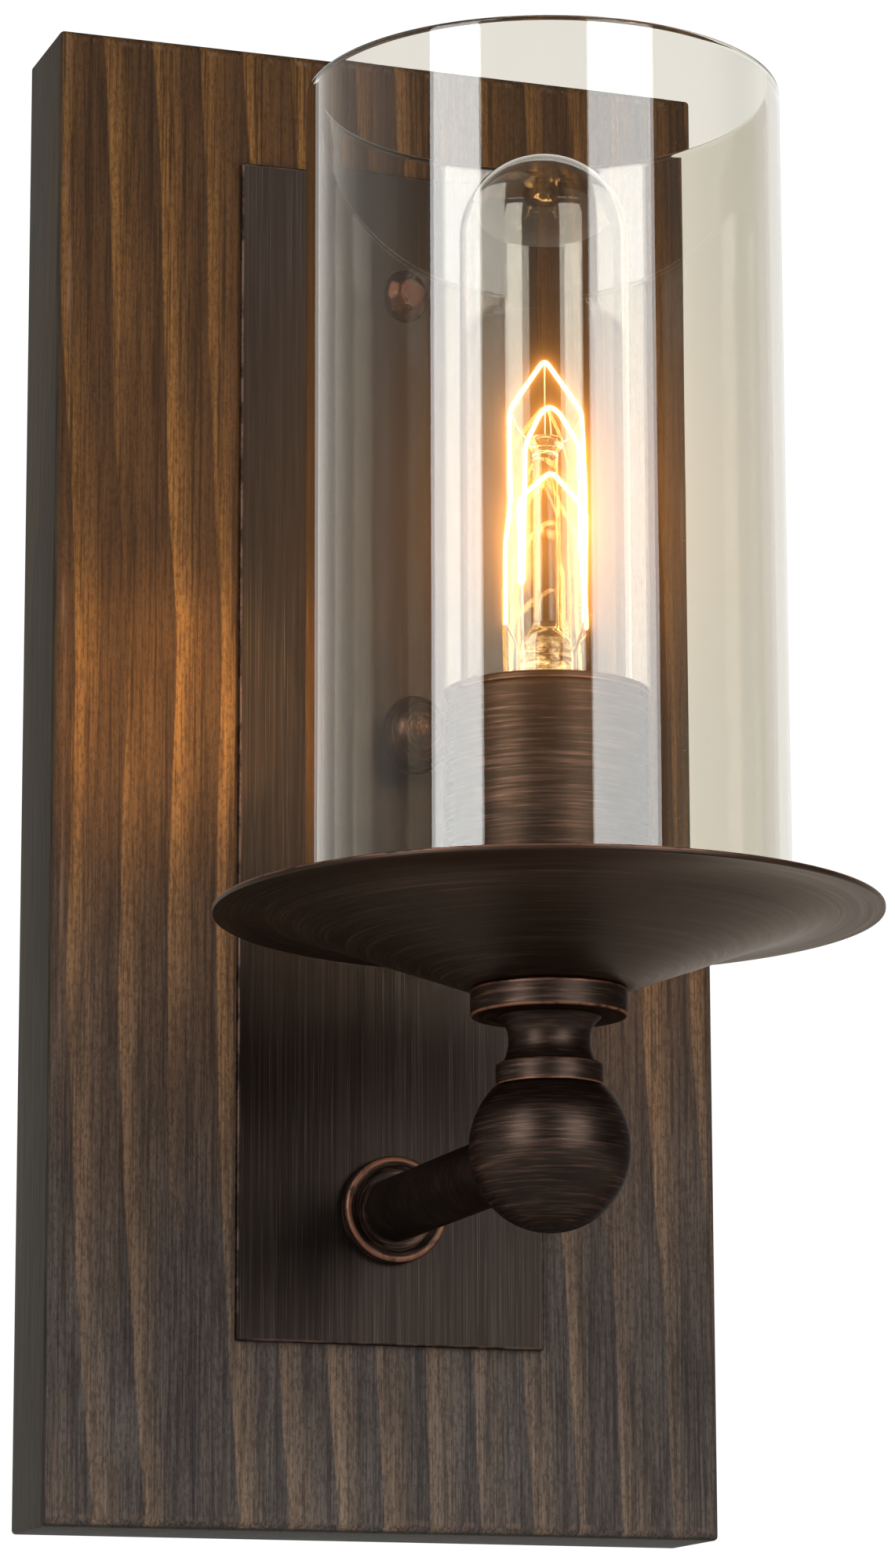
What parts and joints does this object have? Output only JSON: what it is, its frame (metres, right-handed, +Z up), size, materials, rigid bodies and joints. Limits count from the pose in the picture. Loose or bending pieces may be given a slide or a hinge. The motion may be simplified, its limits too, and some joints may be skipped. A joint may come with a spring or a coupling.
{
  "type": "wall sconce",
  "caption": "Wall sconce: stained wood back board, bronze face plate, straight arm, drip dish, candle-style sleeve, tubular filament lamp and loose clear glass cylinder.",
  "frame": {"origin": "centre of the back board's rear face, on the wall plane", "axes": "+Z up the board, +Y into the wall, +X to the viewer's right; the column stands at -Y"},
  "size_m": [0.14, 0.192, 0.3034],
  "materials": {
    "stained_pine": "dark walnut stain over wavy vertical grain, satin",
    "plate_bronze": "oil-rubbed bronze with fine vertical brush lines",
    "turned_bronze": "oil-rubbed bronze brushed round its axis, copper showing in the streaks",
    "worn_bronze": "oil-rubbed bronze with copper-red worn edges",
    "dish_bronze": "satin dark bronze, spun",
    "hammered_bronze": "hammered dark bronze",
    "zinc_steel": "zinc-plated steel hardware",
    "ground_green": "green dyed grounding screw",
    "socket_brass": "bright brass",
    "phenolic": "moulded black phenolic",
    "bushing_nylon": "black nylon",
    "clear_glass": "clear drawn glass",
    "bulb_glass": "clear thin bulb glass",
    "stem_glass": "clear pressed glass",
    "lead_nickel": "nickel support wire",
    "hot_filament": "glowing filament",
    "solder": "dull solder"
  },
  "bodies": {
    "frame": {"back_board": "stained_pine", "face_plate": "plate_bronze", "hammered_stud": "hammered_bronze", "crossbar": "zinc_steel", "box_screw_left": "zinc_steel", "box_screw_right": "zinc_steel", "ground_screw": "ground_green", "threaded_stud": "zinc_steel", "stud_nut": "zinc_steel", "arm_flange": "worn_bronze", "arm_tube": "turned_bronze", "arm_pipe": "zinc_steel", "arm_washer": "zinc_steel", "arm_nut": "zinc_steel", "wire_bushing": "bushing_nylon", "arm_ball": "turned_bronze", "ball_collar": "turned_bronze", "neck_spool": "turned_bronze", "seat_disc": "worn_bronze", "drip_dish": "dish_bronze", "dish_washer": "zinc_steel", "dish_nut": "zinc_steel", "column_pipe": "zinc_steel", "socket_strap": "zinc_steel", "socket_body": "phenolic", "socket_shell": "socket_brass", "socket_contact": "socket_brass", "terminal_screw_left": "socket_brass", "terminal_screw_right": "socket_brass"},
    "glass": {"glass_cylinder": "clear_glass"},
    "sleeve": {"candle_sleeve": "turned_bronze"},
    "bulb_base": {"bulb_tip": "solder", "bulb_insulator": "phenolic"},
    "bulb": {"bulb_base_shell": "socket_brass", "bulb_envelope": "bulb_glass", "bulb_stem": "stem_glass", "bulb_lead_left": "lead_nickel", "bulb_lead_right": "lead_nickel", "bulb_filament": "hot_filament"},
    "nut_washer": {"cap_washer": "turned_bronze"},
    "nut": {"cap_nut": "turned_bronze"}
  },
  "joints": [
    {"name": "glass_lift", "type": "slide", "parent": "frame", "child": "glass", "axis": [0, 0, 1], "range_m": [0, 0.17]},
    {"name": "sleeve_lift", "type": "slide", "parent": "frame", "child": "sleeve", "axis": [0, 0, 1], "range_m": [0, 0.16]},
    {"name": "bulb_rise", "type": "slide", "parent": "frame", "child": "bulb_base", "axis": [0, 0, 1], "range_m": [0, 0.0109]},
    {"name": "bulb_turn", "type": "hinge", "parent": "bulb_base", "child": "bulb", "pos_m": [0, -0.118, 0.05], "axis": [0, 0, 1], "range_deg": [0, 1080]},
    {"name": "nut_travel", "type": "slide", "parent": "frame", "child": "nut_washer", "axis": [0, -1, 0], "range_m": [0, 0.00795]},
    {"name": "nut_turn", "type": "hinge", "parent": "nut_washer", "child": "nut", "pos_m": [0, -0.03, 0.0064], "axis": [0, -1, 0], "range_deg": [0, 3600]}
  ],
  "couplings": [
    {"joint": "bulb_rise", "follows": "bulb_turn", "m_per_rad": 0.00057751},
    {"joint": "nut_travel", "follows": "nut_turn", "m_per_rad": 0.00012633}
  ]
}
